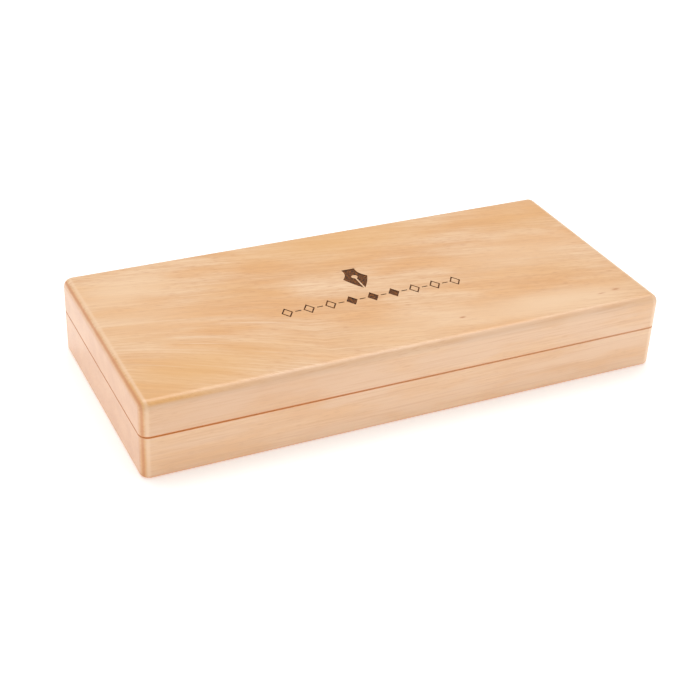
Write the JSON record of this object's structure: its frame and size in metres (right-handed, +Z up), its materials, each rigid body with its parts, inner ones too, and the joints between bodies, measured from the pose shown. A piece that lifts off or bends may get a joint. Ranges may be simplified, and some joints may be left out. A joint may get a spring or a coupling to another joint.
{
  "type": "fountain pen case",
  "caption": "Rectangular hinged hardwood case with rounded edges, a fitted velvet tray with pen troughs, a padded lid, let-in brass stop hinges and magnetic closing.",
  "frame": {"origin": "middle of the wooden base's underside, on the surface that the case stands on", "axes": "+Z up, X along the case, front face towards -Y, hinges towards +Y"},
  "size_m": [0.19, 0.0888, 0.0278],
  "materials": {
    "lacquered_wood": "clear satin lacquer over pale close-grained hardwood",
    "hinge_brass": "brushed and lacquered",
    "screw_brass": "turned",
    "pin_steel": "drawn wire",
    "magnet_nickel": "nickel plated",
    "tray_velvet": "short-pile velvet",
    "lid_velvet": "short-pile velvet",
    "foam": "open-cell foam and wadding",
    "card": "grey-brown board"
  },
  "bodies": {
    "base": {"base_shell": "lacquered_wood", "tray_card": "card", "tray_foam": "foam", "tray_velvet": "tray_velvet", "left_hinge_base_leaf": "hinge_brass", "left_hinge_pin": "pin_steel", "left_hinge_base_screws": "screw_brass", "left_base_magnet": "magnet_nickel", "right_hinge_base_leaf": "hinge_brass", "right_hinge_pin": "pin_steel", "right_hinge_base_screws": "screw_brass", "right_base_magnet": "magnet_nickel"},
    "lid": {"lid_shell": "lacquered_wood", "lid_card": "card", "lid_wadding": "foam", "lid_velvet": "lid_velvet", "left_hinge_lid_leaf": "hinge_brass", "left_hinge_lid_screws": "screw_brass", "left_lid_magnet": "magnet_nickel", "right_hinge_lid_leaf": "hinge_brass", "right_hinge_lid_screws": "screw_brass", "right_lid_magnet": "magnet_nickel"}
  },
  "joints": [
    {"name": "lid_hinge", "type": "hinge", "parent": "base", "child": "lid", "pos_m": [0, 0.0435, 0.0155], "axis": [-1, 0, 0], "range_deg": [0, 95]}
  ]
}
